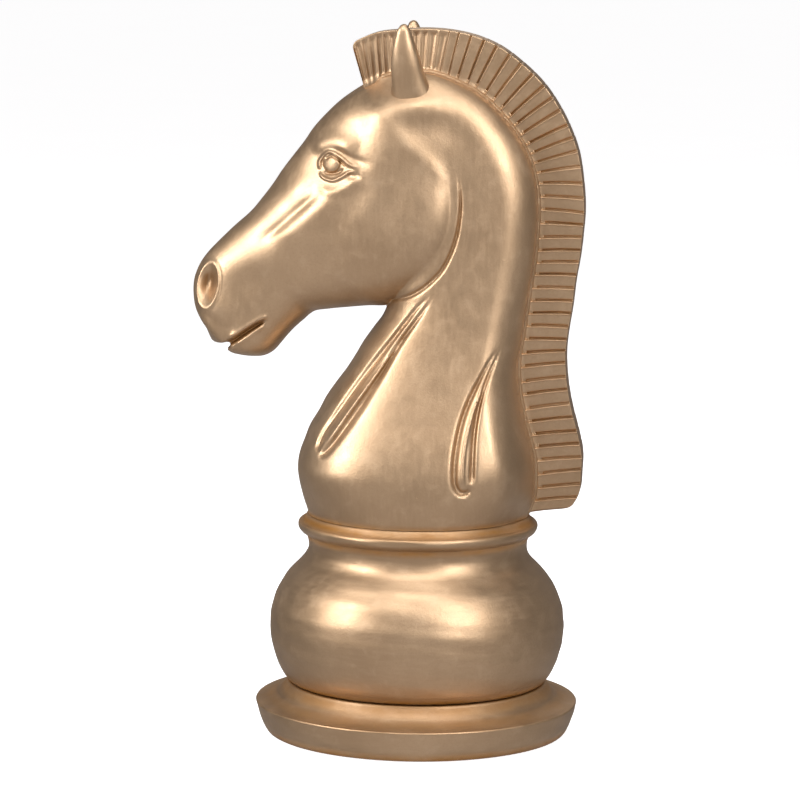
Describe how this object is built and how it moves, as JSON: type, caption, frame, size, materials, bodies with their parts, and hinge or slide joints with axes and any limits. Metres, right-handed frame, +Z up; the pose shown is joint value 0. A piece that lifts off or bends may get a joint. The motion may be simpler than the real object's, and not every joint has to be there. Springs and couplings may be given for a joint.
{
  "type": "giant chess piece",
  "caption": "Large garden chess knight: a horse's head with a comb mane that unscrews from a weighted round base",
  "frame": {"origin": "on the floor, on the vertical axis of the round base", "axes": "+Z up; the horse faces -X; the plane y = 0 is the piece's plane of symmetry"},
  "size_m": [0.279, 0.23, 0.5045],
  "materials": {
    "gold_paint": "satin",
    "black_rubber": "matte",
    "dark_plastic": "matte",
    "steel": "satin",
    "sand": "matte"
  },
  "bodies": {
    "base": {"foot_flange": "gold_paint", "base_pad": "black_rubber", "base_cover": "dark_plastic", "cover_screws": "steel", "bulb_shell": "gold_paint", "body_bolts": "steel", "ballast": "sand", "collar_ring": "gold_paint", "socket_cup": "dark_plastic", "collar_bolts": "steel"},
    "neck_seal": {"neck_gasket": "black_rubber"},
    "head": {"neck_spigot": "dark_plastic", "spigot_screws": "steel", "head_shell_left": "gold_paint", "head_shell_right": "gold_paint", "shell_dowels": "steel", "mane_comb": "gold_paint", "mane_pins": "steel", "ear_left": "gold_paint", "ear_right": "gold_paint"},
    "plug_ring": {"plug_seal": "black_rubber"},
    "plug": {"filler_plug": "dark_plastic"}
  },
  "joints": [
    {"name": "head_lift", "type": "slide", "parent": "base", "child": "neck_seal", "axis": [0, 0, 1], "range_m": [0, 0.018]},
    {"name": "head_turn", "type": "hinge", "parent": "neck_seal", "child": "head", "pos_m": [0, 0, 0.157], "axis": [0, 0, 1], "range_deg": [0, 1080]},
    {"name": "plug_out", "type": "slide", "parent": "base", "child": "plug_ring", "axis": [0, 0, -1], "range_m": [0, 0.009]},
    {"name": "plug_turn", "type": "hinge", "parent": "plug_ring", "child": "plug", "pos_m": [-0.045, 0, 0.004], "axis": [0, 0, -1], "range_deg": [0, 1080]}
  ],
  "couplings": [
    {"joint": "head_lift", "follows": "head_turn", "m_per_rad": 0.00095493},
    {"joint": "plug_out", "follows": "plug_turn", "m_per_rad": 0.00047746}
  ]
}
